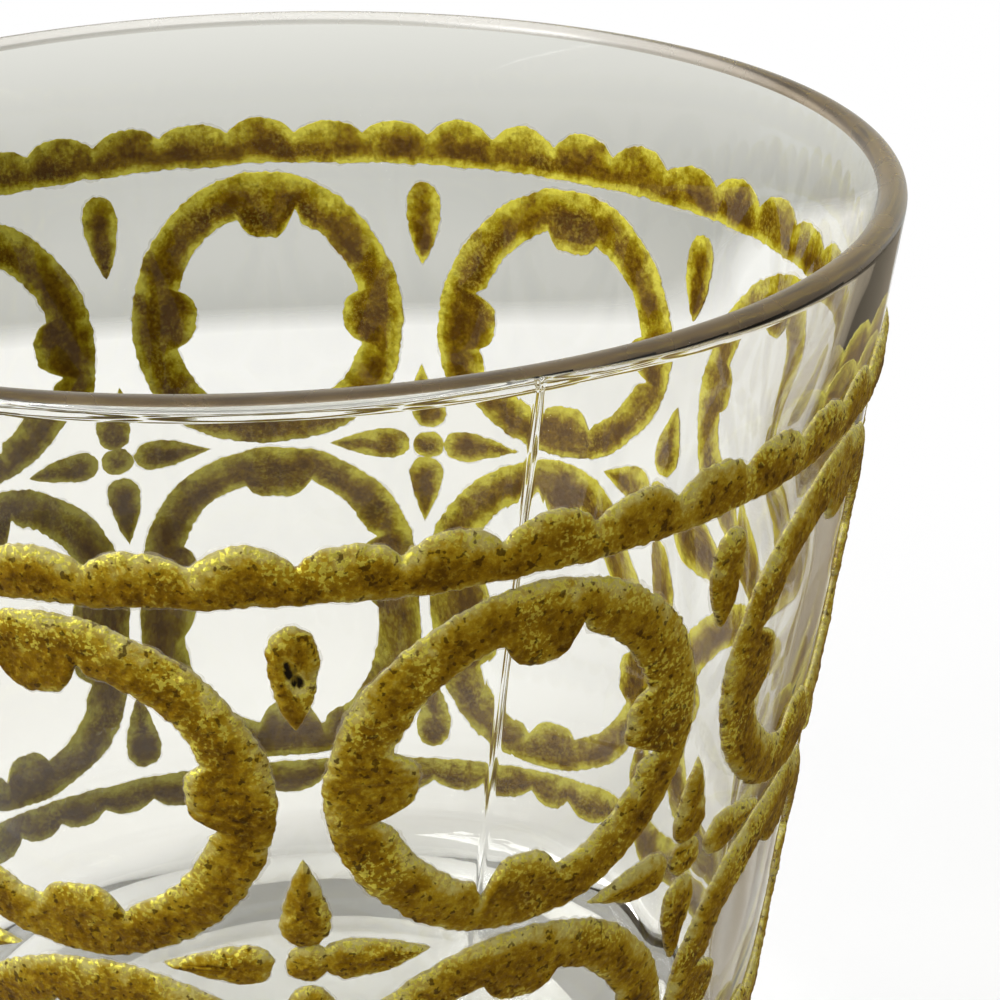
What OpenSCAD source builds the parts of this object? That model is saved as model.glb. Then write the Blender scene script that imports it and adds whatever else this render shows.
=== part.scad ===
// Tea glass: a clear tapered tumbler with a thick base and a raised gold pattern on its wall.
// All lengths are millimetres. The glass stands on z = 0, its axis is Z and its front faces -Y.

/* [Glass] */
// Outside diameter of the wall at the rim
rim_d = 72; // [66:1:90]
// Outside diameter of the wall, carried straight down to the table
foot_d = 54; // [48:1:64]
// Height of the glass
height = 68; // [66:1:100]
// Thickness of the wall and of its rounded lip
wall = 1.6; // [1:0.1:3]
// Thickness of the solid base
base_t = 7; // [4:0.5:9]
// Radius between the inner wall and the inner floor
floor_fillet = 4; // [1:0.5:8]
// Radius of the outer edge of the foot
foot_round = 3; // [1:0.5:4]
// Width of the flat ring that the glass stands on
foot_ring_w = 5; // [3:0.5:10]
// Depth of the shallow hollow under the foot
hollow_depth = 1.2; // [0.4:0.1:2.5]

/* [Raised pattern] */
// Height of the pattern above the wall
relief_h = 0.4; // [0.2:0.1:1.2]
// Columns of rings round the glass
columns = 9; // [7:1:12]
// Clear space between neighbouring rings of the lower row, where they stand closest
column_gap = 0.3; // [0.2:0.1:4]
// Clear space between the two rows of rings
row_gap = 0.5; // [0.2:0.1:2]

/* [Scalloped bands] */
// Distance from the rim down to the crests of the upper band
rim_margin = 7.4; // [4:0.2:9]
// Height of the plain strip of a band
strip_h = 2.1; // [1:0.1:3]
// Height of the scallops on the strip
scallop_h = 1.1; // [0.5:0.1:1.5]
// Scallops for each column of rings
scallops_per_column = 5; // [3:1:6]
// Turn of the first scallop from the front, in degrees
scallop_turn = 4.6; // [0:0.1:8]
// Clear space between the upper band and the upper rings
upper_band_gap = 0.6; // [0.2:0.1:2]
// Clear space between the lower rings and the lower band
lower_band_gap = 0.4; // [0.2:0.1:2]

/* [Rings] */
// Height of a ring
ring_h = 20.8; // [16:0.2:22]
// Width of the line that draws a ring
ring_line = 3; // [2:0.1:5]
// Diameter of the round lobes on the inside of a ring
lobe_d = 4; // [3:0.1:6]
// Distance that a lobe stands in from the line
lobe_reach = 1.5; // [0.4:0.1:2.5]

/* [Teardrops] */
// Length of a teardrop
drop_l = 5.8; // [4:0.1:8]
// Greatest width of a teardrop
drop_w = 2.7; // [1.6:0.1:4]
// Clear space between a band and the round end of a teardrop
drop_gap = 1.2; // [0.4:0.1:2]

/* [Petal crosses] */
// Diameter of the dot in the middle of a cross
dot_d = 2.4; // [1.6:0.1:3]
// Clear space between the dot and the petals
petal_gap = 0.5; // [0.3:0.1:1]
// Length of a petal
petal_l = 5.6; // [3:0.1:6]
// Greatest width of a petal
petal_w = 2.6; // [1.6:0.1:3.2]

/* [Hidden] */
$fn = 144;
glass_colour = [0.86, 0.90, 0.89, 0.4];
gold_colour = [0.55, 0.43, 0.14];

// Corners in a rounded edge of the glass, in a ring and in one side of a leaf
arc_steps = 10;
ring_steps = 72;
leaf_steps = 12;

// Where along its length a teardrop or a petal is widest, counted from the blunt end
drop_widest = 0.28;
petal_widest = 0.3;

// The wall leans outwards by this angle
taper = atan((rim_d - foot_d) / 2 / height);
// Outside radius of the wall at a level
function wall_r(z) = foot_d / 2 + z * tan(taper);
// Radius at a level of a face that lies a distance inside the wall's outer face
function inset_r(z, depth) = wall_r(z) - depth / cos(taper);

// Levels of the pattern, from the rim down
upper_edge = height - rim_margin - scallop_h - strip_h;
upper_ring_z = upper_edge - upper_band_gap - ring_h / 2;
cross_z = upper_ring_z - ring_h / 2 - row_gap / 2;
lower_ring_z = cross_z - row_gap / 2 - ring_h / 2;
lower_edge = lower_ring_z - ring_h / 2 - lower_band_gap;
lowest_crest = lower_edge - strip_h - scallop_h;

// Turn from one column to the next, and from one scallop to the next
column_turn = 360 / columns;
scallops = columns * scallops_per_column;
scallop_pitch = 360 / scallops;

// Width of a ring: the chord of a column in the lower row less the gap to the next ring
ring_w = 2 * (wall_r(lower_ring_z) + relief_h) * sin(column_turn / 2) - column_gap;

// Room beyond a cut, so that it passes right through
overrun = 2;
// Height that the small flat on its crest takes off a scallop
crest_flat = 0.03;

// Points of an arc about a centre, from one angle to another
function arc(centre, r, from, to) =
    [for (i = [0 : arc_steps]) let (a = from + (to - from) * i / arc_steps) centre + r * [cos(a), sin(a)]];

// Points of an upright oval about the origin
function oval(w, h) =
    [for (i = [0 : ring_steps - 1]) let (a = 360 * i / ring_steps) [w / 2 * cos(a), h / 2 * sin(a)]];

// Half width of a leaf of unit width: round at 0, widest at a given share of its length, pointed at 1
function swell(s, widest) = sin(180 * pow(s, ln(0.5) / ln(widest))) / 2;

// Outline of a leaf that hangs from the origin with its blunt end up
function leaf(l, w, widest) =
    let (
        steps = [for (i = [0 : leaf_steps]) (1 - cos(180 * i / leaf_steps)) / 2],
        right = [for (s = steps) [w * swell(s, widest), -l * s]],
        left = [for (i = [leaf_steps - 1 : -1 : 1]) [-right[i].x, right[i].y]]
    )
    concat(right, left);

// Half section of the glass: hollow foot, rounded edge, wall, lip, and back down the inside
module glass_section() {
    foot_z = foot_round;
    foot_c = [inset_r(foot_z, foot_round), foot_z];
    lip_z = height - wall / 2;
    lip_c = [inset_r(lip_z, wall / 2), lip_z];
    fillet_z = base_t + floor_fillet;
    fillet_c = [inset_r(fillet_z, wall + floor_fillet), fillet_z];
    hollow_r = foot_c.x - foot_ring_w;
    dome_r = (hollow_r * hollow_r + hollow_depth * hollow_depth) / (2 * hollow_depth);
    dome_c = [0, hollow_depth - dome_r];
    polygon(concat(
        arc(dome_c, dome_r, 90, 90 - asin(hollow_r / dome_r)),
        arc(foot_c, foot_round, -90, -taper),
        arc(lip_c, wall / 2, -taper, 180 - taper),
        arc(fillet_c, floor_fillet, -taper, -90),
        [[0, base_t]]
    ));
}

// Layer of pattern all round the wall, between two levels
module wall_layer(z_low, z_high) {
    rotate_extrude()
        polygon([
            [wall_r(z_low), z_low],
            [inset_r(z_low, -relief_h), z_low],
            [inset_r(z_high, -relief_h), z_high],
            [wall_r(z_high), z_high]
        ]);
}

// Stands an outline up at a level, turned about the axis, and runs it outwards from a radius
module outwards(turn, level, start = 0) {
    rotate([90, 0, turn])
        translate([0, level, start])
            linear_extrude(height = rim_d / 2 + overrun - start)
                children();
}

// Lays an outline on the wall
module on_wall(turn, level) {
    intersection() {
        wall_layer(lowest_crest, height - rim_margin);
        outwards(turn, level)
            children();
    }
}

// Outline of the notch between two scallops, upright, with its lowest point at the origin
module notch_outline(half_pitch) {
    scallop_r = (half_pitch * half_pitch + scallop_h * scallop_h) / (2 * scallop_h);
    crest_half_w = sqrt(2 * scallop_r * crest_flat);
    half_w = half_pitch - crest_half_w / 2;
    difference() {
        translate([-half_w, -scallop_h / 2])
            square([2 * half_w, 2 * scallop_h]);
        for (side = [-1, 1])
            translate([side * half_pitch, scallop_h - scallop_r])
                circle(scallop_r);
    }
}

// Band with a flat edge at one level and scallops on its other side, upwards for 1 and downwards for -1
module scalloped_band(edge, side) {
    valley = edge + side * strip_h;
    crest = valley + side * (scallop_h - crest_flat);
    z_low = min(edge, crest);
    difference() {
        wall_layer(z_low, max(edge, crest));
        for (i = [0 : scallops - 1])
            outwards(scallop_turn + (i + 0.5) * scallop_pitch, valley, wall_r(z_low) - overrun / 2)
                mirror([0, (1 - side) / 2])
                    notch_outline(wall_r(valley) * sin(scallop_pitch / 2));
    }
}

// Outline of a ring with a round lobe inwards at its top, bottom and both sides
module ring_outline() {
    lobe_c = ring_line + lobe_reach - lobe_d / 2;
    difference() {
        polygon(oval(ring_w, ring_h));
        difference() {
            polygon(oval(ring_w - 2 * ring_line, ring_h - 2 * ring_line));
            for (side = [-1, 1]) {
                translate([side * (ring_w / 2 - lobe_c), 0])
                    circle(d = lobe_d);
                translate([0, side * (ring_h / 2 - lobe_c)])
                    circle(d = lobe_d);
            }
        }
    }
}

module ring(i, level) {
    on_wall((i - 0.5) * column_turn, level)
        ring_outline();
}

module glass_body() {
    color(glass_colour)
        rotate_extrude()
            glass_section();
}

module upper_band() {
    color(gold_colour)
        scalloped_band(upper_edge, 1);
}

module lower_band() {
    color(gold_colour)
        scalloped_band(lower_edge, -1);
}

module upper_ring(i) {
    color(gold_colour)
        ring(i, upper_ring_z);
}

module lower_ring(i) {
    color(gold_colour)
        ring(i, lower_ring_z);
}

// Teardrop under the upper band, its point down
module upper_drop(i) {
    color(gold_colour)
        on_wall((i - 1) * column_turn, upper_edge - drop_gap)
            polygon(leaf(drop_l, drop_w, drop_widest));
}

// Teardrop over the lower band, its point up
module lower_drop(i) {
    color(gold_colour)
        on_wall((i - 1) * column_turn, lower_edge + drop_gap)
            mirror([0, 1])
                polygon(leaf(drop_l, drop_w, drop_widest));
}

// Four petals round a dot, where the corners of four rings leave room
module petal_cross(i) {
    petal_start = dot_d / 2 + petal_gap;
    color(gold_colour)
        on_wall((i - 1) * column_turn, cross_z) {
            circle(d = dot_d);
            for (turn = [0 : 90 : 270])
                rotate(turn)
                    translate([0, -petal_start])
                        polygon(leaf(petal_l, petal_w, petal_widest));
        }
}

glass_body();
upper_band();
lower_band();
for (i = [1 : columns]) {
    upper_ring(i);
    lower_ring(i);
    upper_drop(i);
    lower_drop(i);
    petal_cross(i);
}
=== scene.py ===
"""Clear tapered tea glass with a raised pattern of gold glitter paste.

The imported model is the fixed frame: every piece made here stands for one of its nodes. Lengths are
millimetres and turns are degrees from the front, to the right. Finishes and the studio are in metres.
"""
import logging
import math
import random
from dataclasses import dataclass, field
from enum import Enum
from typing import Any, Union

import bpy
import numpy as np
from mathutils import Matrix, Vector, noise


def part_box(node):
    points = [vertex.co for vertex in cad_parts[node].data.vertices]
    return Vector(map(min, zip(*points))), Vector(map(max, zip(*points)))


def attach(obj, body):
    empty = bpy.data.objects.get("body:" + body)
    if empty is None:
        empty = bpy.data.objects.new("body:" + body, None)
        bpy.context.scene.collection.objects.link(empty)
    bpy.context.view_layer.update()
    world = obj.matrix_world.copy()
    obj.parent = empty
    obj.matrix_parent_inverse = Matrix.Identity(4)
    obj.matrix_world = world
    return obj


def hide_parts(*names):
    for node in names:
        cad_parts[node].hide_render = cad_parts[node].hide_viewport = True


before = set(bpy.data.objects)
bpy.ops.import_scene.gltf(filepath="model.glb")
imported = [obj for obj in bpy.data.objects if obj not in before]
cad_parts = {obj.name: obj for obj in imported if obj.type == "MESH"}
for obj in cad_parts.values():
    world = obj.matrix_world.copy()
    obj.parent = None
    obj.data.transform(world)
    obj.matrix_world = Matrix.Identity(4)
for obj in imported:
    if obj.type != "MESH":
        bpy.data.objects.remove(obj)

log = logging.getLogger("tea_glass")

MM = 0.001
BODY = "root"
Array = np.ndarray
Colour = tuple[float, float, float, float]
Spot = tuple[float, float, float]
Span = tuple[float, float]
WHITE: Colour = (1.0, 1.0, 1.0, 1.0)
# Part of a mottle's range over which one colour turns into another
MOTTLED: Span = (0.35, 0.65)
# Step through the noise from one seed to the next
NOISE_STEP: Spot = (17.3, 5.1, -9.7)


class Slot(Enum):
    """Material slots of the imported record."""

    GLASS = "clear_glass"
    GOLD = "gold_glitter"


class Side(Enum):
    """Which way the scallops of a band point."""

    UP = 1
    DOWN = -1


def wave(points: Array, length: float, seed: int) -> Array:
    """Smooth noise from -1 to 1 at points in space.

    Args:
        points: Points in millimetres, with x, y and z on the last axis.
        length: Distance over which the noise changes, in millimetres.
        seed: Number that picks another piece of the noise.

    Returns:
        One value for each point.
    """
    flat = points.reshape(-1, 3) / length + np.array(NOISE_STEP) * seed
    values = [noise.noise(Vector(point)) for point in flat.tolist()]
    return np.array(values).reshape(points.shape[:-1])


def round_over(share: Array) -> Array:
    """Height of a quarter round: 0 at its edge, where share is 0, and 1 from a share of 1 on."""
    return np.sqrt(1 - (1 - np.clip(share, 0, 1)) ** 2)


def bell(distance: Array, width: float) -> Array:
    """Soft bump: 1 in the middle and next to nothing from twice its width on."""
    return np.exp(-((distance / width) ** 2))


def turn_from(turn: Array, centre: float) -> Array:
    """Turns measured from a centre, from -180 to 180 degrees."""
    return np.mod(turn - centre + 180, 360) - 180


def round_axis(radius: Any, turn: Array, level: Any) -> Array:
    """Points at radii, turns and levels round the axis, with x, y and z last."""
    angle = np.radians(turn)
    return np.stack([radius * np.sin(angle), -radius * np.cos(angle), level + 0 * angle], -1)


@dataclass(frozen=True)
class Wall:
    """Outer face of the glass, a cone that the pattern lies on."""

    rim_r: float = 36.0
    foot_r: float = 27.0
    height: float = 68.0
    thickness: float = 1.6

    @property
    def lean(self) -> float:
        """Angle by which the wall leans outwards, in radians."""
        return math.atan((self.rim_r - self.foot_r) / self.height)

    def radius(self, level: Any) -> Any:
        """Outside radius at a level."""
        return self.foot_r + level * math.tan(self.lean)

    def inset(self, level: float, depth: float) -> float:
        """Radius at a level of a face that lies a distance inside the wall's outer face."""
        return self.radius(level) - depth / math.cos(self.lean)

    def place(self, spread: Array, lift: Any = 0.0) -> Array:
        """Points on the wall, or lifted over it along its normal, at turns and levels."""
        level, out, down = spread[..., 1], lift * math.cos(self.lean), lift * math.sin(self.lean)
        return round_axis(self.radius(level) + out, spread[..., 0], level - down)


@dataclass(frozen=True)
class Reading:
    """Output of a node that takes part in Python arithmetic."""

    sheet: "NodeSheet"
    node: bpy.types.Node
    output: Union[int, str] = 0

    @property
    def socket(self) -> bpy.types.NodeSocket:
        """The socket that links start from."""
        return self.node.outputs[self.output]

    def out(self, output: Union[int, str]) -> "Reading":
        """Another output of the same node."""
        return Reading(self.sheet, self.node, output)

    def maths(self, operation: str, first: "Operand", second: "Operand" = 0.0) -> "Reading":
        """One Math node on two values."""
        return self.sheet.node("ShaderNodeMath", {"operation": operation}, {0: first, 1: second})

    def __add__(self, other: "Operand") -> "Reading":
        """Sum."""
        return self.maths("ADD", self, other)

    def __radd__(self, other: "Operand") -> "Reading":
        """Sum with a number first."""
        return self.maths("ADD", other, self)

    def __sub__(self, other: "Operand") -> "Reading":
        """Difference."""
        return self.maths("SUBTRACT", self, other)

    def __rsub__(self, other: "Operand") -> "Reading":
        """Difference from a number."""
        return self.maths("SUBTRACT", other, self)

    def __mul__(self, other: "Operand") -> "Reading":
        """Product."""
        return self.maths("MULTIPLY", self, other)

    def __rmul__(self, other: "Operand") -> "Reading":
        """Product with a number first."""
        return self.maths("MULTIPLY", other, self)

    def __pow__(self, other: "Operand") -> "Reading":
        """Power."""
        return self.maths("POWER", self, other)

    def span(self, low: float, high: float) -> "Reading":
        """Share of the way from low to high, kept from 0 to 1."""
        sockets = {"Value": self, "From Min": low, "From Max": high}
        return self.sheet.node("ShaderNodeMapRange", {"clamp": True}, sockets)


Operand = Union[Reading, float]
Sockets = dict[Union[int, str], Any]


class NodeSheet:
    """Node tree of a material or of the world."""

    def __init__(self, tree: bpy.types.NodeTree) -> None:
        """Takes a tree and empties it."""
        self.tree = tree
        tree.nodes.clear()

    def node(
        self, kind: str, settings: Union[dict[str, Any], None] = None, sockets: Union[Sockets, None] = None
    ) -> Reading:
        """Makes any node.

        Args:
            kind: Type of the node.
            settings: Properties of the node, set first. "stops" are a ramp's places and colours.
            sockets: Values or links of the inputs, by name or number.

        Returns:
            The node's first output.
        """
        made = self.tree.nodes.new(kind)
        for name, value in (settings or {}).items():
            if name == "stops":
                stops = made.color_ramp.elements
                while len(stops) < len(value):
                    stops.new(1.0)
                for stop, (place, colour) in zip(stops, value):
                    stop.position, stop.color = place, colour
            else:
                setattr(made, name, value)
        for key, value in (sockets or {}).items():
            if isinstance(value, Reading):
                self.tree.links.new(value.socket, made.inputs[key])
            else:
                made.inputs[key].default_value = value
        return Reading(self, made)

    def place(self) -> Reading:
        """Place on the piece, in metres."""
        return self.node("ShaderNodeTexCoord").out("Object")

    def parts(self, vector: Reading) -> Reading:
        """A vector taken apart into X, Y and Z."""
        return self.node("ShaderNodeSeparateXYZ", None, {0: vector})

    def mottle(self, place: Reading, scale: float, detail: float, roughness: float = 0.5) -> Reading:
        """Soft grey patches from 0 to 1."""
        sockets = {"Vector": place, "Scale": scale, "Detail": detail, "Roughness": roughness}
        return self.node("ShaderNodeTexNoise", None, sockets)

    def bump(self, height: Reading, distance: float) -> Reading:
        """Normal of a face that stands out by a height times a distance in metres."""
        sockets = {"Height": height, "Distance": distance, "Strength": 1.0}
        return self.node("ShaderNodeBump", None, sockets)

    def mix(self, share: Operand, first: Any, second: Any) -> Reading:
        """Colour between two colours, by a share from 0 to 1."""
        mixed = self.node("ShaderNodeMix", {"data_type": "RGBA"}, {0: share, 6: first, 7: second})
        return mixed.out(2)

    def vectors(self, operation: str, first: Any, second: Any = None, scale: float = 1.0) -> Reading:
        """One Vector Math node on one or two vectors."""
        sockets = {0: first, 3: scale} if second is None else {0: first, 1: second}
        return self.node("ShaderNodeVectorMath", {"operation": operation}, sockets)

    def principled(self, sockets: Sockets) -> Reading:
        """One Principled shader."""
        return self.node("ShaderNodeBsdfPrincipled", None, sockets)

    def blend(self, share: Reading, first: Reading, second: Reading) -> Reading:
        """Shader between two shaders, by a share from 0 to 1."""
        return self.node("ShaderNodeMixShader", None, {0: share, 1: first, 2: second})

    def ray(self, kind: str) -> Reading:
        """1 for rays of one kind, and 0 for the rest."""
        return self.node("ShaderNodeLightPath").out(kind)

    def straight_view(self) -> Reading:
        """1 for what the eye sees through glass without any mirroring, and 0 for the rest."""
        bounces = self.ray("Glossy Depth") + self.ray("Diffuse Depth")
        return self.ray("Is Transmission Ray") * bounces.span(1.0, 0.0)


class Finish:
    """Material with a name and a shader of its own."""

    name: str

    def surface(self, sheet: NodeSheet) -> Reading:
        """The shader, built on a sheet."""
        raise NotImplementedError

    def make(self) -> bpy.types.Material:
        """Builds the material.

        Returns:
            The finished material.
        """
        material = bpy.data.materials.new(self.name)
        material.use_nodes = True
        sheet = NodeSheet(material.node_tree)
        sheet.node("ShaderNodeOutputMaterial", None, {"Surface": self.surface(sheet)})
        return material


@dataclass(frozen=True)
class ClearGlass(Finish):
    """Clear soda glass with the faint drag marks of a pressed wall."""

    name: str = "clear_glass"
    tint: Colour = (0.985, 0.988, 0.975, 1.0)
    shadow: Colour = (0.93, 0.93, 0.92, 1.0)
    bend: float = 1.5
    ripple_scale: float = 90.0
    ripple_height: float = 0.00002
    ripple_stretch: Spot = (1.0, 1.0, 0.35)

    def surface(self, sheet: NodeSheet) -> Reading:
        """Glass to the eye, which lets lamps shine through.

        Args:
            sheet: Sheet to build on.

        Returns:
            The shader.
        """
        tall = sheet.vectors("MULTIPLY", sheet.place(), self.ripple_stretch)
        ripple = sheet.mottle(tall, self.ripple_scale, detail=2.0)
        glass = sheet.principled({
            "Base Color": self.tint,
            "Roughness": 0.0,
            "IOR": self.bend,
            "Transmission Weight": 1.0,
            "Normal": sheet.bump(ripple, self.ripple_height),
        })
        clear = sheet.node("ShaderNodeBsdfTransparent", None, {"Color": self.shadow})
        return sheet.blend(sheet.ray("Is Shadow Ray"), glass, clear)


@dataclass(frozen=True)
class SoftLip(Finish):
    """Lip of the glass, clouded by its grinding and polishing and tinted brown in streaks as a painted
    reflection of the room, and paler at the back.
    """

    name: str = "soft_lip_painted_reflection"
    # Brown tints of the lip: a painted reflection of the room.
    taupe: Colour = (0.32, 0.225, 0.130, 1.0)
    grey: Colour = (0.22, 0.157, 0.092, 1.0)
    pale: Colour = (0.82, 0.80, 0.76, 1.0)
    pale_depths: Span = (0.012, 0.034)
    clear: float = 0.75
    bend: float = 1.5
    streak_scale: float = 260.0
    smooth: float = 0.16
    streak_rough: float = 0.2

    def surface(self, sheet: NodeSheet) -> Reading:
        """Half clear glass in brown streaks, the brown a painted reflection of the room, paler at the back.

        Args:
            sheet: Sheet to build on.

        Returns:
            The shader.
        """
        place = sheet.place()
        streaks = sheet.mottle(place, self.streak_scale, detail=3.0)
        # Painted reflection fades to pale at the back of the lip.
        at_back = sheet.parts(place).out("Y").span(*self.pale_depths)
        cloud = sheet.mix(streaks.span(*MOTTLED), self.grey, self.taupe)
        return sheet.principled({
            "Base Color": sheet.mix(at_back, cloud, self.pale),
            "Roughness": self.smooth + streaks * self.streak_rough,
            "IOR": self.bend,
            "Transmission Weight": self.clear,
        })


@dataclass(frozen=True)
class GlitterPaste(Finish):
    """Gold glitter crumbs in a brown binder, yellower and paler where the paste is thin, partly its own
    colour and partly painted light glowing through, and painted lighter on faces that point up.
    """

    name: str
    crumb_scale: float = 2100.0
    crumb_height: float = 0.00012
    clump_scale: float = 560.0
    drift_scale: float = 290.0
    pit_scale: float = 2300.0
    grain_scale: float = 4200.0
    deep: Colour = (0.092, 0.044, 0.001, 1.0)
    brown: Colour = (0.205, 0.112, 0.002, 1.0)
    gold: Colour = (0.33, 0.222, 0.010, 1.0)
    # Palest stop, reached at thin edges and upward faces: partly the thin paste's own colour, partly painted
    # glow and painted top light.
    edge: Colour = (0.46, 0.41, 0.13, 1.0)
    stops: tuple[float, ...] = (0.0, 0.22, 0.44, 0.78)
    flake: Colour = (0.80, 0.74, 0.11, 1.0)
    pit: Colour = (0.045, 0.020, 0.0005, 1.0)
    # Near-black painted shade in the hole of a chip.
    chip: Colour = (0.010, 0.007, 0.003, 1.0)
    chip_shade_cores: Span = (-0.1, -0.7)
    level: float = 0.18
    contrast: float = 0.9
    blotch: float = 0.7
    # Paleness of thin edges: partly the paste's own colour, partly painted light glowing through the thin
    # paste.
    thin_share: float = 0.36
    thin_least: float = 0.3
    thin_blotch: float = 1.4
    # Painted top light: faces that point up are painted paler and yellower, with fewer pits and more glints.
    sky_share: float = 0.36
    painted_top_light_tilts: Span = (-0.2, 0.7)
    glint: float = 0.85
    glint_range: Span = (0.56, 0.63)
    glint_least: float = 0.07
    patch_glint: float = 0.06
    patch_range: Span = (0.2, 0.8)
    patch_drift: float = 2.5
    patch_clump: float = 1.2
    painted_top_light_glints: float = 0.8
    patch_thin: float = 0.4
    pit_share: float = 0.8
    pit_range: Span = (0.40, 0.35)
    painted_top_light_pit_fade: float = 0.05
    tilt: float = 0.4
    smooth: float = 0.35
    grain_rough: float = 0.25
    shine: float = 0.05

    @classmethod
    def seen_through_glass(cls) -> "GlitterPaste":
        """Underside of the paste, which shows through the wall that it lies on: a darker copy of the face as
        painted shade, with painted backlight glowing through its thin edges.
        """
        return cls(
            "glitter_back_painted_backlight",
            # Darker colours than the face: painted shade.
            deep=(0.070, 0.030, 0.0004, 1.0),
            brown=(0.150, 0.084, 0.0008, 1.0),
            gold=(0.26, 0.195, 0.004, 1.0),
            # Bright yellow edge: painted backlight glowing through the thin paste.
            edge=(0.51, 0.46, 0.05, 1.0),
            level=0.10,
            blotch=0.9,
            thin_share=0.66,
            sky_share=0.0,
            glint=0.1,
            pit_share=0.3,
        )

    def surface(self, sheet: NodeSheet) -> Reading:
        """Crumbs from brown to gold, with dark pits, glints, painted light from above on upward faces, pale
        thin edges that are partly painted glow, and the near-black painted shade in the hole of a chip.

        Args:
            sheet: Sheet to build on.

        Returns:
            The shader.
        """
        place = sheet.place()
        grains = sheet.node("ShaderNodeTexVoronoi", None, {"Vector": place, "Scale": self.grain_scale})
        grain_lot = sheet.node("ShaderNodeSeparateColor", None, {0: grains.out("Color")}).out("Green")
        clumps = sheet.mottle(place, self.clump_scale, detail=2.0)
        crumbs = sheet.mottle(place, self.crumb_scale, detail=5.0, roughness=0.7)
        drifts = sheet.mottle(place, self.drift_scale, detail=1.0)
        holes = sheet.mottle(place, self.pit_scale, detail=2.0)
        sparks = sheet.mottle(place, self.grain_scale, detail=2.0)
        core = sheet.node("ShaderNodeAttribute", {"attribute_name": "core"}).out("Fac")
        plain = sheet.node("ShaderNodeNewGeometry").out("Normal")
        # Painted top light, from how far the shading normal points up.
        painted_top_light = sheet.parts(plain).out("Z").span(*self.painted_top_light_tilts)
        # Thin edges turn paler: partly the thin paste's own colour, partly painted light glowing through it.
        thin = (1 - core * core).span(0.0, 1.0) ** 0.5
        lot = (crumbs - 0.5) * self.contrast + (clumps - 0.5) * self.blotch + self.level
        thin_pale_and_glow_lot = thin * self.thin_share * (self.thin_least + clumps * self.thin_blotch)
        ramp = list(zip(self.stops, (self.deep, self.brown, self.gold, self.edge)))
        pale = lot + thin_pale_and_glow_lot + painted_top_light * self.sky_share
        paste = sheet.node("ShaderNodeValToRGB", {"stops": ramp}, {0: pale})
        is_pit = (holes + painted_top_light * self.painted_top_light_pit_fade).span(*self.pit_range) * self.pit_share
        paste = sheet.mix(is_pit, paste, self.pit)
        patches = (drifts - 0.5) * self.patch_drift + (clumps - 0.5) * self.patch_clump
        patches = (patches + painted_top_light * self.painted_top_light_glints + thin * self.patch_thin).span(*self.patch_range)
        is_flake = (sparks + patches * self.patch_glint).span(*self.glint_range)
        is_flake = is_flake * (self.glint_least + patches * (1 - self.glint_least)) * (1 - is_pit)
        paste = sheet.mix(is_flake * self.glint, paste, self.flake)
        spread = sheet.vectors("SUBTRACT", grains.out("Color"), (0.5, 0.5, 0.5))
        lean = sheet.vectors("SCALE", spread, scale=self.tilt)
        facing = sheet.vectors("ADD", sheet.bump(crumbs, self.crumb_height), lean)
        return sheet.principled({
            "Base Color": sheet.mix(core.span(*self.chip_shade_cores), paste, self.chip),
            "Metallic": is_flake * self.glint,
            "Roughness": self.smooth + grain_lot * self.grain_rough,
            "Specular IOR Level": self.shine,
            "Normal": sheet.vectors("NORMALIZE", facing),
        })


@dataclass(frozen=True)
class ClearBinder(Finish):
    """Clear binder that has run out from under the paste as a thin glossy film."""

    name: str = "clear_binder"
    cream: Colour = (0.66, 0.60, 0.46, 1.0)
    tan: Colour = (0.42, 0.34, 0.18, 1.0)
    cover: float = 0.24
    streak_scale: float = 1500.0
    smooth: float = 0.1
    streak_rough: float = 0.2

    def surface(self, sheet: NodeSheet) -> Reading:
        """Thin gloss in streaks.

        Args:
            sheet: Sheet to build on.

        Returns:
            The shader.
        """
        streaks = sheet.mottle(sheet.place(), self.streak_scale, detail=3.0)
        return sheet.principled({
            "Base Color": sheet.mix(streaks.span(*MOTTLED), self.tan, self.cream),
            "Roughness": self.smooth + streaks * self.streak_rough,
            "Alpha": self.cover,
        })


@dataclass(frozen=True)
class PaleFloor(Finish):
    """White sheet under and behind the glass, on a pale table that looks taupe in reflections."""

    name: str = "pale_floor"
    white: Colour = (0.84, 0.84, 0.83, 1.0)
    shade: Colour = (0.80, 0.80, 0.79, 1.0)
    taupe: Colour = (0.30, 0.25, 0.18, 1.0)
    pale: Colour = (0.74, 0.72, 0.68, 1.0)
    patch_scale: float = 9.0
    matt: float = 0.6
    backdrop_share: float = 0.86
    shadow_r: float = 0.06
    sheet_left: float = -0.12
    sheet_right: float = 0.034
    sheet_flare: float = 0.4
    sheet_front: float = -0.04
    back: float = 0.168
    fade: float = 0.012

    def surface(self, sheet: NodeSheet) -> Reading:
        """White to the eye but for a soft shadow near the glass, and clear at the far end.

        Args:
            sheet: Sheet to build on.

        Returns:
            The shader.
        """
        place = sheet.place()
        patches = sheet.mottle(place, self.patch_scale, detail=3.0)
        parts = sheet.parts(place)
        across, depth = parts.out("X"), parts.out("Y")
        on_sheet = across.span(self.sheet_left - self.fade, self.sheet_left)
        right = across - depth * self.sheet_flare
        on_sheet = on_sheet * right.span(self.sheet_right + self.fade, self.sheet_right)
        on_sheet = on_sheet * depth.span(self.sheet_front - self.fade, self.sheet_front)
        seen = sheet.ray("Is Camera Ray")
        table = sheet.mix(seen + sheet.straight_view(), self.taupe, self.pale)
        colour = sheet.mix(patches.span(*MOTTLED), self.white, self.shade)
        colour = sheet.mix(on_sheet, table, colour)
        top = sheet.principled({"Base Color": colour, "Roughness": self.matt})
        white = sheet.node("ShaderNodeEmission", None, {"Color": WHITE, "Strength": 1.0})
        away = ((across * across + depth * depth) ** 0.5).span(self.shadow_r, 2 * self.shadow_r)
        share = seen * (self.backdrop_share + away * (1 - self.backdrop_share))
        gone = depth.span(self.back - self.fade, self.back)
        clear = sheet.node("ShaderNodeBsdfTransparent")
        return sheet.blend(gone, sheet.blend(share, top, white), clear)


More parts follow.
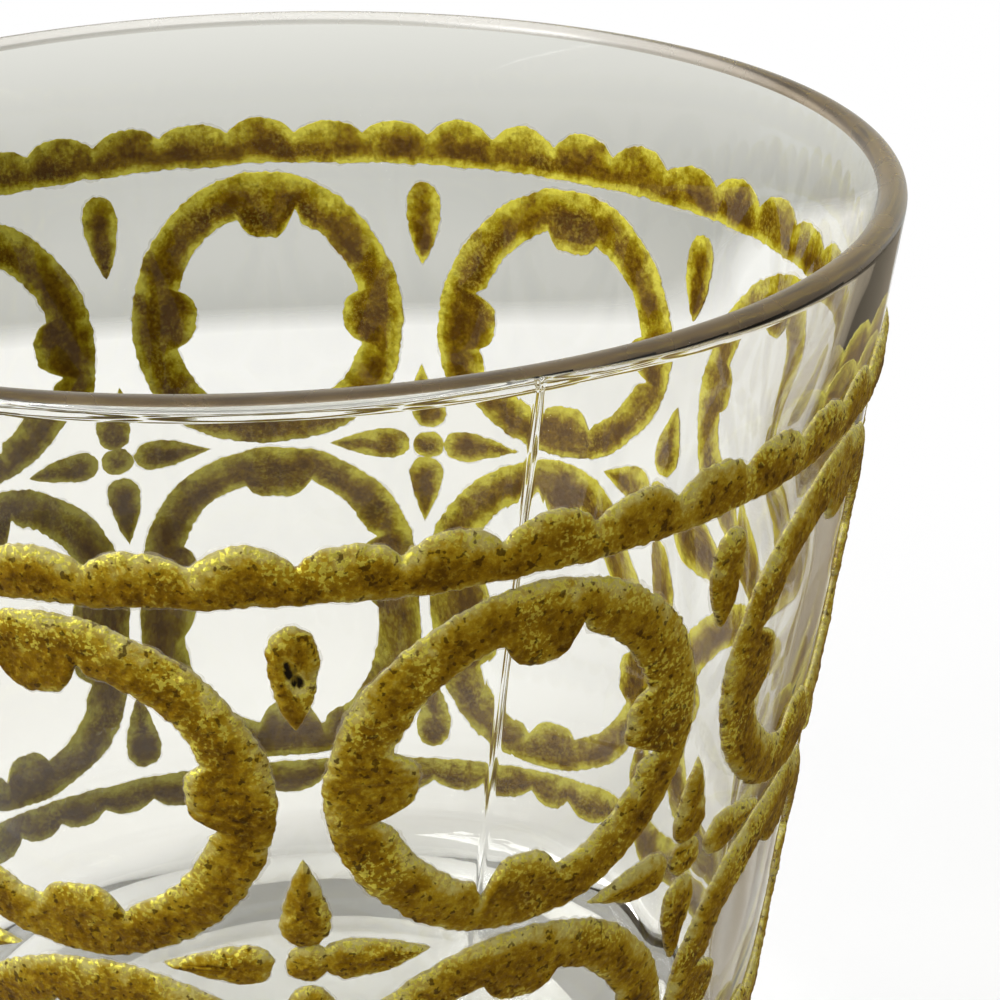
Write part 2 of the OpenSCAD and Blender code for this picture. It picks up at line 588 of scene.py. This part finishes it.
class Shell:
    """Collects points and faces of one piece and makes its object."""

    def __init__(self) -> None:
        """Starts with nothing."""
        self.points: list[Array] = []
        self.cores: list[Array] = []
        self.faces: list[Array] = []
        self.marks: list[Array] = []
        self.caps: list[tuple[list[int], int]] = []
        self.count = 0

    def grid(self, points: Array, core: Array, flip: bool, mark: int) -> Array:
        """Adds rows of points that close on themselves, and the faces between the rows.

        Args:
            points: Points in millimetres, by row and by place along the row.
            core: Value of each point's "core" attribute.
            flip: True to turn the faces over.
            mark: Material number of the faces.

        Returns:
            The number of each point.
        """
        rows, steps = points.shape[:2]
        index = self.count + np.arange(rows * steps).reshape(rows, steps)
        self.count += rows * steps
        self.points.append(points.reshape(-1, 3))
        self.cores.append(core.reshape(-1))
        self.join(index, flip, mark)
        return index

    def join(self, index: Array, flip: bool, mark: int) -> None:
        """Adds faces between rows of points.

        Args:
            index: Numbers of the points, by row.
            flip: True to turn the faces over.
            mark: Material number of the faces.
        """
        ahead = np.roll(index, -1, axis=1)
        quads = np.stack([index[:-1], ahead[:-1], ahead[1:], index[1:]], -1).reshape(-1, 4)
        self.faces.append(quads[:, ::-1] if flip else quads)
        self.marks.append(np.full(len(quads), mark))

    def cap(self, row: Array, flip: bool, mark: int) -> None:
        """Closes a row with one face."""
        loop = row.tolist()
        self.caps.append((loop[::-1] if flip else loop, mark))

    def make(self, name: str, node: str, slot: Slot, materials: list[bpy.types.Material]) -> None:
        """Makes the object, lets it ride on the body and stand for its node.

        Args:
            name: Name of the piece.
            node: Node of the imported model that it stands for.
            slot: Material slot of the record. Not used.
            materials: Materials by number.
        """
        mesh = bpy.data.meshes.new(name)
        faces = np.concatenate(self.faces).tolist() + [loop for loop, _ in self.caps]
        mesh.from_pydata((np.concatenate(self.points) * MM).tolist(), [], faces)
        core = mesh.attributes.new("core", "FLOAT", "POINT")
        core.data.foreach_set("value", np.concatenate(self.cores).astype(np.float32))
        marks = np.concatenate(self.marks + [np.array([mark for _, mark in self.caps], dtype=int)])
        mesh.polygons.foreach_set("material_index", marks.astype(np.int32))
        mesh.polygons.foreach_set("use_smooth", np.ones(len(marks), dtype=bool))
        for material in materials:
            mesh.materials.append(material)
        mesh.update()
        piece = bpy.data.objects.new(name, mesh)
        bpy.context.scene.collection.objects.link(piece)
        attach(piece, BODY)
        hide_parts(node)
        log.info("%s: %d points", name, len(mesh.vertices))


@dataclass
class GlassBody:
    """The tumbler itself: foot, uneven wall with the seam of its mould, clouded lip with a painted
    reflection, hollow and floor.
    """

    wall: Wall
    clear: bpy.types.Material
    lip: bpy.types.Material
    base: float = 7.0
    floor_fillet: float = 4.0
    floor_cap_r: float = 0.4
    foot_round: float = 3.0
    foot_ring: float = 5.0
    hollow_depth: float = 1.2
    dome_steps: int = 14
    round_steps: int = 12
    lip_steps: int = 25
    wall_steps: int = 70
    floor_steps: int = 16
    join: float = 0.0006
    columns: int = 300
    seam_columns: int = 33
    seam_spread: float = 1.6
    seam_turn: float = 11.6
    seam_slant: float = 0.108
    seam_w: float = 0.26
    seam_h: float = 0.045
    haze_and_reflection_turns: Span = (15.0, 55.0)
    haze_and_reflection_from: Span = (-0.35, -0.8)
    belt: float = 0.41
    belt_level: float = 55.3
    belt_w: float = 7.4
    thickening: float = 0.63
    front_swell: float = 0.6
    front_turn: float = 1.0
    front_w: float = 26.0
    outer_wave: float = 0.004
    outer_wave_l: float = 9.0
    inner_wave: float = 0.012
    inner_wave_l: float = 7.0
    inner_ripple: float = 0.5
    inner_ripple_l: float = 3.0
    drawn_wave: float = 0.05
    drawn_wave_l: float = 3.6
    drawn_turn: float = 52.0
    drawn_w: float = 24.0
    wave_stretch: float = 0.3

    def arc(self, centre: Span, r: float, start: float, end: float, steps: int) -> list[Span]:
        """Points of an arc in the section, from one angle to another in radians."""
        angles = np.linspace(start, end, steps)
        return [(centre[0] + r * math.cos(a), centre[1] + r * math.sin(a)) for a in angles]

    def between(self, start: Span, end: Span, steps: int, close: float = 0.0) -> list[Span]:
        """Evenly spaced points between two points of the section, and one more close to the end if asked."""
        shares = np.linspace(0, 1, steps + 2)[1:-1].tolist() + ([1 - close] if close else [])
        return [(start[0] + s * (end[0] - start[0]), start[1] + s * (end[1] - start[1])) for s in shares]

    def section(self) -> tuple[Array, Array]:
        """Half section of the glass from the middle of the foot, up the outside and down the inside.

        Returns:
            Radius and level of each row, and a share from -1, on the outer wall, to 1, on the inner one.
        """
        wall, lean, upright = self.wall, self.wall.lean, math.pi / 2
        foot_c = (wall.inset(self.foot_round, self.foot_round), self.foot_round)
        lip_z = wall.height - wall.thickness / 2
        lip_c = (wall.inset(lip_z, wall.thickness / 2), lip_z)
        fillet_z = self.base + self.floor_fillet
        fillet_c = (wall.inset(fillet_z, wall.thickness + self.floor_fillet), fillet_z)
        hollow_r = foot_c[0] - self.foot_ring
        dome_r = (hollow_r**2 + self.hollow_depth**2) / (2 * self.hollow_depth)
        dome_c = (0.0, self.hollow_depth - dome_r)
        dome_end = upright - math.asin(hollow_r / dome_r)
        dome = self.arc(dome_c, dome_r, upright, dome_end, self.dome_steps)[1:]
        foot = self.arc(foot_c, self.foot_round, -upright, -lean, self.round_steps)
        lip = self.arc(lip_c, wall.thickness / 2, -lean, math.pi - lean, self.lip_steps)
        fillet = self.arc(fillet_c, self.floor_fillet, -lean, -upright, self.round_steps)
        outside = self.between(foot[-1], lip[0], self.wall_steps, self.join)
        inside = self.between(fillet[0], lip[-1], self.wall_steps, self.join)[::-1]
        middle = (self.floor_cap_r, self.base)
        floor = self.between(fillet[-1], middle, self.floor_steps) + [middle]
        rows = dome + foot + outside + lip + inside + fillet + floor
        marks = [0.0] * len(dome + foot) + [-1.0] * len(outside)
        marks += np.linspace(-1, 1, len(lip)).tolist() + [1.0] * len(inside)
        marks += np.linspace(1, 0, len(fillet)).tolist() + [0.0] * len(floor)
        return np.array(rows), np.array(marks)

    def build(self) -> None:
        """Turns the section round the axis, unevenly, and clouds the lip with a painted reflection, most of
        it at the sides.
        """
        rows, marks = self.section()
        near = np.linspace(-self.seam_spread, self.seam_spread, self.seam_columns)
        far = np.linspace(self.seam_spread, 360 - self.seam_spread, self.columns)[1:-1]
        beside = np.concatenate([near, far])[None, :]
        level, mark = rows[:, 1][:, None], marks[:, None]
        turn = beside + self.seam_turn + self.seam_slant * np.clip(level, 0, None)
        even = np.repeat(rows[:, 0][:, None], beside.size, axis=1)
        spots = round_axis(even, turn, level * self.wave_stretch)
        ridge = self.seam_h * bell(np.radians(turn_from(beside, 0.0)) * even, self.seam_w / 2)
        outside = ridge + self.outer_wave * wave(spots, self.outer_wave_l, seed=3)
        ripple = self.inner_ripple * wave(spots, self.inner_ripple_l, seed=2)
        waves = wave(spots, self.inner_wave_l, seed=1) + ripple
        drawn = self.drawn_wave * bell(turn_from(turn, self.drawn_turn), self.drawn_w)
        inside = self.inner_wave * waves + drawn * wave(spots, self.drawn_wave_l, seed=4)
        inside = inside - self.belt * bell(level - self.belt_level, self.belt_w)
        inside = inside - self.front_swell * bell(turn_from(turn, self.front_turn), self.front_w)
        inside = inside - self.thickening * np.clip(1 - level / self.wall.height, 0, 1)
        radius = even + np.clip(-mark, 0, 1) * outside + np.clip(mark, 0, 1) * inside
        shell = Shell()
        index = shell.grid(round_axis(radius, turn, level), np.ones(radius.shape), False, 0)
        # The lip's clouded finish with its painted reflection reaches further round the lip at the sides.
        start = np.interp(np.abs(turn_from(turn, 0.0)), self.haze_and_reflection_turns, self.haze_and_reflection_from)
        on_lip = (mark > start) & (mark < 1) & (level > self.wall.height / 2)
        shell.marks[-1] = (on_lip[:-1] | on_lip[1:]).astype(int).ravel()
        shell.cap(index[0], flip=True, mark=0)
        shell.cap(index[-1], flip=False, mark=0)
        shell.make("tumbler", "glass_body", Slot.GLASS, [self.clear, self.lip])


@dataclass(frozen=True)
class Chip:
    """Hole where a crumb of paste has broken out, which the paste shader paints near black as shade."""

    turn: float
    level: float
    half_w: float = 0.6
    half_h: float = 1.25
    depth: float = 0.24
    slant: float = -0.35
    steepness: float = 2.2
    least: float = 0.75
    ragged: float = 0.5
    ragged_l: float = 0.4

    def share(self, aside: Array, up: Array) -> Array:
        """How much of the crumb is gone, from 0 to 1, at distances from its middle."""
        off = np.hypot((aside - self.slant * up) / self.half_w, up / self.half_h)
        return np.clip(self.steepness * (1 - off), 0, 1)


@dataclass
class PasteWork:
    """The way the glitter paste is laid: thickness, soft shoulders, grain and unsteady edges."""

    wall: Wall
    face: bpy.types.Material
    back: bpy.types.Material
    film: bpy.types.Material
    thickness: float = 0.4
    shoulder: float = 1.1
    slump: float = 0.4
    sink: float = 0.05
    rows: int = 18
    under_rows: int = 11
    blob_start: float = 0.03
    edge_drift: float = 0.16
    edge_drift_l: float = 2.6
    edge_fray: float = 0.11
    edge_frays: tuple[Span, ...] = ((1.0, 0.6), (0.8, 0.3))
    lump: float = 0.22
    lump_l: float = 2.2
    grain: float = 0.07
    grain_l: float = 0.33
    film_w: float = 0.13
    film_h: float = 0.14
    film_tuck: float = 0.04
    film_waves: tuple[Span, ...] = ((1.6, 1.3), (0.6, 0.4))
    film_limits: Span = (0.25, 3.0)
    film_rows: tuple[float, ...] = (0.0, 0.35, 0.7, 1.0)

    def sway(self, spots: Array, waves: tuple[Span, ...], seed: int) -> Array:
        """Sum of waves, each given by its share and its length."""
        return sum(share * wave(spots, length, seed) for share, length in waves)

    def edge_shift(self, spots: Array, seed: int) -> Array:
        """How far an unsteady edge strays, in millimetres."""
        drift = self.edge_drift * wave(spots, self.edge_drift_l, seed)
        return drift + self.edge_fray * self.sway(spots, self.edge_frays, seed + 1)

    def lay(
        self, shell: Shell, inner: Array, outer: Array, seed: int,
        filled: bool = False, chip: Union[Chip, None] = None,
    ) -> None:
        """Lays paste between two closed edges.

        Args:
            shell: Piece that the paste belongs to.
            inner: Turn and level of each point of one edge.
            outer: Turn and level of the matching points of the other edge.
            seed: Number that picks this bead's unevenness.
            filled: True where the inner edge is only the middle of a closed blob.
            chip: Place where a crumb has broken out.
        """
        level = (inner[:, 1] + outer[:, 1]) / 2
        arc_mm = np.radians(1.0) * self.wall.radius(level)
        across = np.stack([(outer[:, 0] - inner[:, 0]) * arc_mm, outer[:, 1] - inner[:, 1]], -1)
        width = np.linalg.norm(across, axis=1)
        step = np.stack([across[:, 0] / arc_mm, across[:, 1]], -1) / width[:, None]
        stray = self.edge_shift(self.wall.place(outer), seed)
        outer, width = outer + step * stray[:, None], width + stray
        if filled:
            share = np.sin(np.linspace(0, math.pi / 2, self.rows // 2 + 2))
        else:
            stray = self.edge_shift(self.wall.place(inner), seed + 2)
            inner, width = inner - step * stray[:, None], width + stray
            share = (1 - np.cos(np.linspace(0, math.pi, self.rows))) / 2
        spread = inner[None] + (outer - inner)[None] * share[:, None, None]
        slump = self.slump * step[:, 1]
        core = round_over((1 - share)[:, None] * width / (self.shoulder * (1 + slump)))
        if not filled:
            core = np.minimum(core, round_over(share[:, None] * width / (self.shoulder * (1 - slump))))
        spots = self.wall.place(spread)
        lift = self.thickness * core * (1 + self.lump * wave(spots, self.lump_l, seed + 3))
        lift = lift + self.grain * core * wave(spots, self.grain_l, seed + 4)
        kept = np.unique(np.linspace(0, len(share) - 1, self.under_rows).astype(int))
        under_core = core[kept]
        if chip:
            gone = chip.share((spread[..., 0] - chip.turn) * arc_mm, spread[..., 1] - chip.level)
            gone = gone * (chip.least + chip.ragged * wave(spots, chip.ragged_l, seed + 5))
            # A core below 0 marks the chip's hole, which the paste shader paints near black as painted
            # shade.
            lift, core = lift - chip.depth * gone, core * (1 - gone) - gone
        top = self.wall.place(spread, lift)
        flip = self.winds_inwards(top)
        face = shell.grid(top, core, flip, 0)
        back = shell.grid(self.wall.place(spread[kept], -self.sink), under_core, not flip, 1)
        shell.join(np.stack([face[-1], back[-1]]), flip, 0)
        if filled:
            shell.cap(face[0], not flip, 0)
            shell.cap(back[0], flip, 1)
        else:
            shell.join(np.stack([back[0], face[0]]), flip, 0)
            self.run_film(shell, inner, -step, seed + 5)
        self.run_film(shell, outer, step, seed + 6)

    def blob_edges(self, turn: float, level: float, outline: Array, middle: Array) -> list[Array]:
        """Two edges of a filled blob: a tiny outline round its middle, and the outline itself."""
        start = middle + (outline - middle) * self.blob_start
        return [self.around(turn, level, points) for points in (start, outline)]

    def run_film(self, shell: Shell, edge: Array, step: Array, seed: int) -> None:
        """Runs a film of clear binder out from an edge of the paste.

        Args:
            shell: Piece that the film belongs to.
            edge: Turn and level of each point of the edge.
            step: Change of turn and level for one millimetre outwards.
            seed: Number that picks the film's unevenness.
        """
        sway = self.sway(self.wall.place(edge), self.film_waves, seed)
        reach = self.film_w * np.clip(1 + sway, *self.film_limits)
        share = np.array(self.film_rows)
        out = share[:, None] * reach[None, :] - self.film_tuck
        spread = edge[None] + step[None] * out[..., None]
        film = self.wall.place(spread, self.film_h * np.sqrt(1 - share**2)[:, None] + 0 * out)
        shell.grid(film, 0 * out, self.winds_inwards(film), 2)

    def winds_inwards(self, top: Array) -> bool:
        """True if faces built from these rows would look towards the axis."""
        (start, along), across = top[len(top) // 2, :2], top[len(top) // 2 + 1, 0]
        return float(np.dot(np.cross(along - start, across - start), start * (1, 1, 0))) < 0

    def make(self, shell: Shell, node: str) -> None:
        """Makes the piece that stands for a node."""
        shell.make(f"paste_{node}", node, Slot.GOLD, [self.face, self.back, self.film])

    def around(self, turn: float, level: float, outline: Array) -> Array:
        """Turns and levels of an outline that is drawn flat and pressed straight on to the wall.

        Args:
            turn: Turn of the outline's origin.
            level: Level of the outline's origin.
            outline: Points to the right and up from the origin.

        Returns:
            Turn and level of each point.
        """
        z = level + outline[:, 1]
        share = outline[:, 0] / (self.wall.radius(z) + self.thickness)
        return np.stack([turn + np.degrees(np.arcsin(share)), z], -1)


@dataclass
class ScallopedBand:
    """Band round the glass with a straight edge and a row of scallops."""

    work: PasteWork
    node: str
    side: Side
    seed: int
    scallops: int = 45
    first_turn: float = 4.6
    strip: float = 2.1
    scallop: float = 1.1
    scallop_range: Span = (0.75, 1.15)
    fullness: float = 2.4
    steps: int = 1440

    def build(self) -> None:
        """Lays the band between the levels of its node."""
        low, high = (corner[2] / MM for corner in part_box(self.node))
        edge = low if self.side is Side.UP else high
        pitch = 360 / self.scallops
        turn = np.linspace(0, 360, self.steps, endpoint=False)
        off = (np.mod(turn - self.first_turn + pitch / 2, pitch) - pitch / 2) / (pitch / 2)
        hand = random.Random(self.seed)
        bumps = np.array([hand.uniform(*self.scallop_range) for _ in range(self.scallops)])
        place = np.floor((turn - self.first_turn) / pitch + 0.5).astype(int) % self.scallops
        crest = self.strip + self.scallop * bumps[place] * (1 - np.abs(off) ** self.fullness)
        inner = np.stack([turn, np.full(self.steps, edge)], -1)
        outer = np.stack([turn, edge + self.side.value * crest], -1)
        shell = Shell()
        self.work.lay(shell, inner, outer, self.seed)
        self.work.make(shell, self.node)


@dataclass(frozen=True)
class Lobe:
    """Round dab on the inside of a ring, with a nick in the line on one side of it."""

    angle: float
    reach: float
    half_w: float
    nick: float
    nick_side: int
    nick_off: float = 0.1
    nick_w: float = 0.4
    fullness: float = 3.2

    def step_in(self, along: Array) -> Array:
        """How far the dab moves the inner edge inwards, at distances along the line from its middle."""
        dab = self.reach * np.sqrt(1 - np.clip(np.abs(along) / self.half_w, 0, 1) ** self.fullness)
        return dab - self.nick * bell(along - self.nick_side * (self.half_w + self.nick_off), self.nick_w)


@dataclass
class LobedRing:
    """Upright oval line with four dabs on its inside."""

    work: PasteWork
    node: str
    turn: float
    width: float
    seed: int
    line: float = 3.0
    lobes: list[Lobe] = field(default_factory=list)
    steps: int = 480

    def __post_init__(self) -> None:
        """Sets four dabs by an unsteady hand where none are given."""
        hand = random.Random(self.seed)
        if not self.lobes:
            self.lobes = [
                Lobe(
                    angle=angle + hand.uniform(-4, 4),
                    reach=hand.uniform(1.2, 1.75),
                    half_w=hand.uniform(1.75, 2.15),
                    nick=hand.uniform(0.0, 0.7),
                    nick_side=hand.choice((-1, 1)),
                )
                for angle in (0, 90, 180, 270)
            ]

    def reach_to(self, angle: Array, half_w: float, half_h: float) -> Array:
        """Distance from the middle to an oval, along each angle."""
        return 1 / np.hypot(np.cos(angle) / half_w, np.sin(angle) / half_h)

    def build(self) -> None:
        """Lays the ring where its node is."""
        low, high = (corner[2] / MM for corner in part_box(self.node))
        level, half_h, half_w = (low + high) / 2, (high - low) / 2, self.width / 2
        angle = np.linspace(0, 2 * math.pi, self.steps, endpoint=False)
        rays = np.stack([np.cos(angle), np.sin(angle)], -1)
        outer = self.reach_to(angle, half_w, half_h)
        inner = self.reach_to(angle, half_w - self.line, half_h - self.line)
        edge = inner.copy()
        for lobe in self.lobes:
            off = np.mod(angle - math.radians(lobe.angle) + math.pi, 2 * math.pi) - math.pi
            edge = edge - lobe.step_in(off * inner)
        shell = Shell()
        edges = [self.work.around(self.turn, level, rays * r[:, None]) for r in (edge, outer)]
        self.work.lay(shell, *edges, self.seed)
        self.work.make(shell, self.node)


@dataclass
class LeafMark:
    """Blob with a blunt end and a pointed end, as a teardrop or a petal."""

    length: float
    width: float
    widest: float
    fullness: float = 0.9
    middle_below: float = 0.12
    steps: int = 96

    def outline(self) -> Array:
        """Shape of a leaf that hangs from the origin with its blunt end up.

        Returns:
            Points to the right and up from the origin.
        """
        a = np.linspace(0, 2 * math.pi, self.steps, endpoint=False)
        share = (1 - np.cos(a)) / 2
        half = np.sin(np.pi * share ** (math.log(0.5) / math.log(self.widest))) ** self.fullness / 2
        return np.stack([-np.sign(np.sin(a)) * self.width * half, -self.length * share], -1)

    def middle(self) -> Array:
        """The point that the leaf is filled from, a little below its widest place."""
        return np.array([0.0, -self.length * (self.widest + self.middle_below)])


@dataclass
class Teardrop:
    """Teardrop between two rings, its blunt end at a band."""

    work: PasteWork
    node: str
    turn: float
    side: Side
    seed: int
    chipped: bool = False
    leaf: LeafMark = field(default_factory=lambda: LeafMark(5.8, 2.6, 0.32, 0.72))

    def build(self) -> None:
        """Lays the teardrop where its node is."""
        low, high = (corner[2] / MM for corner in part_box(self.node))
        flip = np.array([1.0, -self.side.value])
        level = low if self.side is Side.UP else high
        shell = Shell()
        outline, middle = self.leaf.outline() * flip, self.leaf.middle() * flip
        chip = Chip(self.turn, level + middle[1]) if self.chipped else None
        edges = self.work.blob_edges(self.turn, level, outline, middle)
        self.work.lay(shell, *edges, self.seed, filled=True, chip=chip)
        self.work.make(shell, self.node)


@dataclass
class PetalCross:
    """Four petals round a dot, some of which run together with it."""

    work: PasteWork
    node: str
    turn: float
    seed: int
    dot: float = 2.4
    dot_steps: int = 48
    gaps: tuple[float, ...] = ()
    gap_range: Span = (-0.25, 0.6)
    seed_step: int = 7
    petal: LeafMark = field(default_factory=lambda: LeafMark(5.6, 2.6, 0.28))

    def __post_init__(self) -> None:
        """Leaves uneven gaps round the dot where none are given."""
        hand = random.Random(self.seed)
        if not self.gaps:
            self.gaps = tuple(hand.uniform(*self.gap_range) for _ in range(4))

    def build(self) -> None:
        """Lays the dot and the petals where their node is, from the lower petal round to the left one."""
        low, high = (corner[2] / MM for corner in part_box(self.node))
        level = (low + high) / 2
        shell = Shell()
        a = np.linspace(0, 2 * math.pi, self.dot_steps, endpoint=False)
        dot = np.stack([np.cos(a), np.sin(a)], -1) * self.dot / 2
        edges = self.work.blob_edges(self.turn, level, dot, np.zeros(2))
        self.work.lay(shell, *edges, self.seed, filled=True)
        for quarter, gap in enumerate(self.gaps):
            start = np.array([0.0, -self.dot / 2 - gap])
            turned = np.array(Matrix.Rotation(quarter * math.pi / 2, 2)).T
            outline = (self.petal.outline() + start) @ turned
            middle = (self.petal.middle() + start) @ turned
            seed = self.seed + self.seed_step * (quarter + 1)
            edges = self.work.blob_edges(self.turn, level, outline, middle)
            self.work.lay(shell, *edges, seed, filled=True)
        self.work.make(shell, self.node)


@dataclass(frozen=True)
class SoftLamp:
    """Square soft lamp that looks at the glass, and that glossy faces may mirror or not."""

    name: str
    at: Spot
    size: float
    watts: float
    mirrored: bool = False
    aim: Spot = (0.0, 0.0, 0.03)

    def hang(self) -> None:
        """Hangs the lamp."""
        lamp = bpy.data.lights.new(self.name, "AREA")
        lamp.size, lamp.energy = self.size, self.watts
        held = bpy.data.objects.new(self.name, lamp)
        held.location = self.at
        held.visible_glossy = held.visible_transmission = self.mirrored
        held.rotation_euler = (Vector(self.aim) - Vector(self.at)).to_track_quat("-Z", "Y").to_euler()
        bpy.context.scene.collection.objects.link(held)


@dataclass
class Studio:
    """Floor, surroundings, lamps and camera."""

    floor_half: float = 0.9
    camera_at: Spot = (0.0, -0.13407, 0.10856)
    camera_turn: float = -5.564
    camera_dip: float = 24.895
    camera_roll: float = -0.596
    lens: float = 87.87
    sensor: float = 36.0
    nearest: float = 0.01
    sky: Colour = (0.55, 0.55, 0.53, 1.0)
    wall_low: Colour = (0.435, 0.44, 0.405, 1.0)
    wall_high: Colour = (0.87, 0.87, 0.825, 1.0)
    room: Colour = (0.19, 0.157, 0.11, 1.0)
    pale_room: Colour = (0.55, 0.53, 0.49, 1.0)
    wall_heights: Span = (-0.36, -0.24)
    wall_depths: Span = (-0.05, 0.65)
    sky_heights: Span = (0.05, 0.75)
    lamps: tuple[SoftLamp, ...] = (
        SoftLamp("key_softbox", (-0.42, -0.20, 0.45), 0.30, 3.8, mirrored=True),
        SoftLamp("fill_softbox", (0.50, -0.35, 0.25), 0.40, 1.2),
        SoftLamp("back_softbox", (0.12, 0.50, 0.14), 0.40, 0.9),
    )

    def build_floor(self) -> None:
        """Lays the floor, which ends a little way behind the glass."""
        finish = PaleFloor()
        half, back = self.floor_half, finish.back
        mesh = bpy.data.meshes.new("table_top")
        corners = [(-half, -half, 0.0), (half, -half, 0.0), (half, back, 0.0), (-half, back, 0.0)]
        mesh.from_pydata(corners, [], [(0, 1, 2, 3)])
        mesh.materials.append(finish.make())
        floor = bpy.data.objects.new("table_top", mesh)
        bpy.context.scene.collection.objects.link(floor)

    def light_world(self) -> None:
        """Surrounds the glass with a pale studio, and with a darker one for what it mirrors."""
        world = bpy.data.worlds.new("studio")
        bpy.context.scene.world = world
        world.use_nodes = True
        sheet = NodeSheet(world.node_tree)
        way = sheet.parts(sheet.node("ShaderNodeTexCoord").out("Generated"))
        wall = sheet.mix(way.out("Z").span(*self.wall_heights), self.wall_low, self.wall_high)
        room = sheet.mix(sheet.straight_view(), self.room, self.pale_room)
        sides = sheet.mix(way.out("Y").span(*self.wall_depths), room, wall)
        around = sheet.mix(way.out("Z").span(*self.sky_heights), sides, self.sky)
        colour = sheet.mix(sheet.ray("Is Camera Ray"), around, WHITE)
        surface = sheet.node("ShaderNodeBackground", None, {"Color": colour, "Strength": 1.0})
        sheet.node("ShaderNodeOutputWorld", None, {"Surface": surface})

    def set_camera(self) -> None:
        """Sets the camera at the photograph's viewing angle."""
        data = bpy.data.cameras.new("camera")
        data.lens, data.sensor_width, data.clip_start = self.lens, self.sensor, self.nearest
        camera = bpy.data.objects.new("camera", data)
        turn = Matrix.Rotation(math.radians(self.camera_turn), 4, "Z")
        dip = Matrix.Rotation(math.radians(90 - self.camera_dip), 4, "X")
        roll = Matrix.Rotation(math.radians(self.camera_roll), 4, "Z")
        camera.matrix_world = Matrix.Translation(self.camera_at) @ turn @ dip @ roll
        bpy.context.scene.collection.objects.link(camera)
        bpy.context.scene.camera = camera

    def build(self) -> None:
        """Sets up everything round the glass."""
        self.set_camera()
        self.build_floor()
        self.light_world()
        for lamp in self.lamps:
            lamp.hang()
        bpy.context.scene.view_settings.view_transform = "Standard"


@dataclass
class Pattern:
    """All the paste on the wall: two bands, two rows of rings, and teardrops and crosses between them."""

    work: PasteWork
    columns: int = 9
    front_lobes: tuple[Lobe, ...] = (
        Lobe(1, 1.6, 2.0, 0.8, -1),
        Lobe(88, 1.55, 1.95, 0.6, -1),
        Lobe(179, 1.6, 1.85, 0.5, 1),
        Lobe(270, 1.5, 1.95, 0.8, -1),
    )
    front_gaps: tuple[float, ...] = (0.5, -0.5, -0.1, 0.45)
    drift_turns: tuple[float, ...] = (0, 60, 100, 130, 160, 200, 280, 360)
    drifts: tuple[float, ...] = (0, 0, 0.8, 1.8, 1.0, 0.8, 0.4, 0)
    back_narrowing: float = 0.035
    band_seeds: tuple[int, int] = (11, 23)
    ring_seeds: tuple[int, int] = (100, 300)
    drop_seeds: tuple[int, int] = (500, 600)
    seed_step: int = 9
    cross_seed: int = 700
    cross_seed_step: int = 50

    def drift(self, turn: float) -> float:
        """How far the hand has strayed to the right of a column's own turn, in degrees."""
        return float(np.interp(turn, self.drift_turns, self.drifts))

    def narrowing(self, turn: float) -> float:
        """Share of its width that a ring keeps: all of it in front, a little less at the back."""
        return 1 - self.back_narrowing * (1 - math.cos(math.radians(turn))) / 2

    @property
    def ring_width(self) -> float:
        """Width of a ring, from the one that stands square to the back."""
        low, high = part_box(f"lower_ring_{(self.columns + 1) // 2}")
        return (high[0] - low[0]) / MM

    def build(self) -> None:
        """Lays the whole pattern."""
        work, pitch = self.work, 360 / self.columns
        ScallopedBand(work, "upper_band", Side.UP, self.band_seeds[0]).build()
        ScallopedBand(work, "lower_band", Side.DOWN, self.band_seeds[1]).build()
        for i in range(1, self.columns + 1):
            turn, seed, is_front = (i - 1) * pitch, self.seed_step * i, i == 1
            middle = turn + pitch / 2
            width = self.ring_width * self.narrowing(middle)
            for row, first in zip(("upper", "lower"), self.ring_seeds):
                node = f"{row}_ring_{i}"
                lobes = list(self.front_lobes) if node == "upper_ring_1" else []
                LobedRing(work, node, middle + self.drift(middle), width, first + seed, lobes=lobes).build()
            at, gaps = turn + self.drift(turn), self.front_gaps if is_front else ()
            Teardrop(work, f"upper_drop_{i}", at, Side.DOWN, self.drop_seeds[0] + seed, is_front).build()
            Teardrop(work, f"lower_drop_{i}", at, Side.UP, self.drop_seeds[1] + seed).build()
            seed = self.cross_seed + self.cross_seed_step * i
            PetalCross(work, f"petal_cross_{i}", at, seed, gaps=gaps).build()


def main() -> None:
    """Builds the pieces in order and notes the sizes."""
    logging.basicConfig(level=logging.INFO, format="%(message)s")
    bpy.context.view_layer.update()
    Studio().build()
    wall = Wall()
    GlassBody(wall, ClearGlass().make(), SoftLip().make()).build()
    face, back = GlitterPaste("glitter_face").make(), GlitterPaste.seen_through_glass().make()
    Pattern(PasteWork(wall, face, back, ClearBinder().make())).build()


if __name__ == "__main__":
    main()
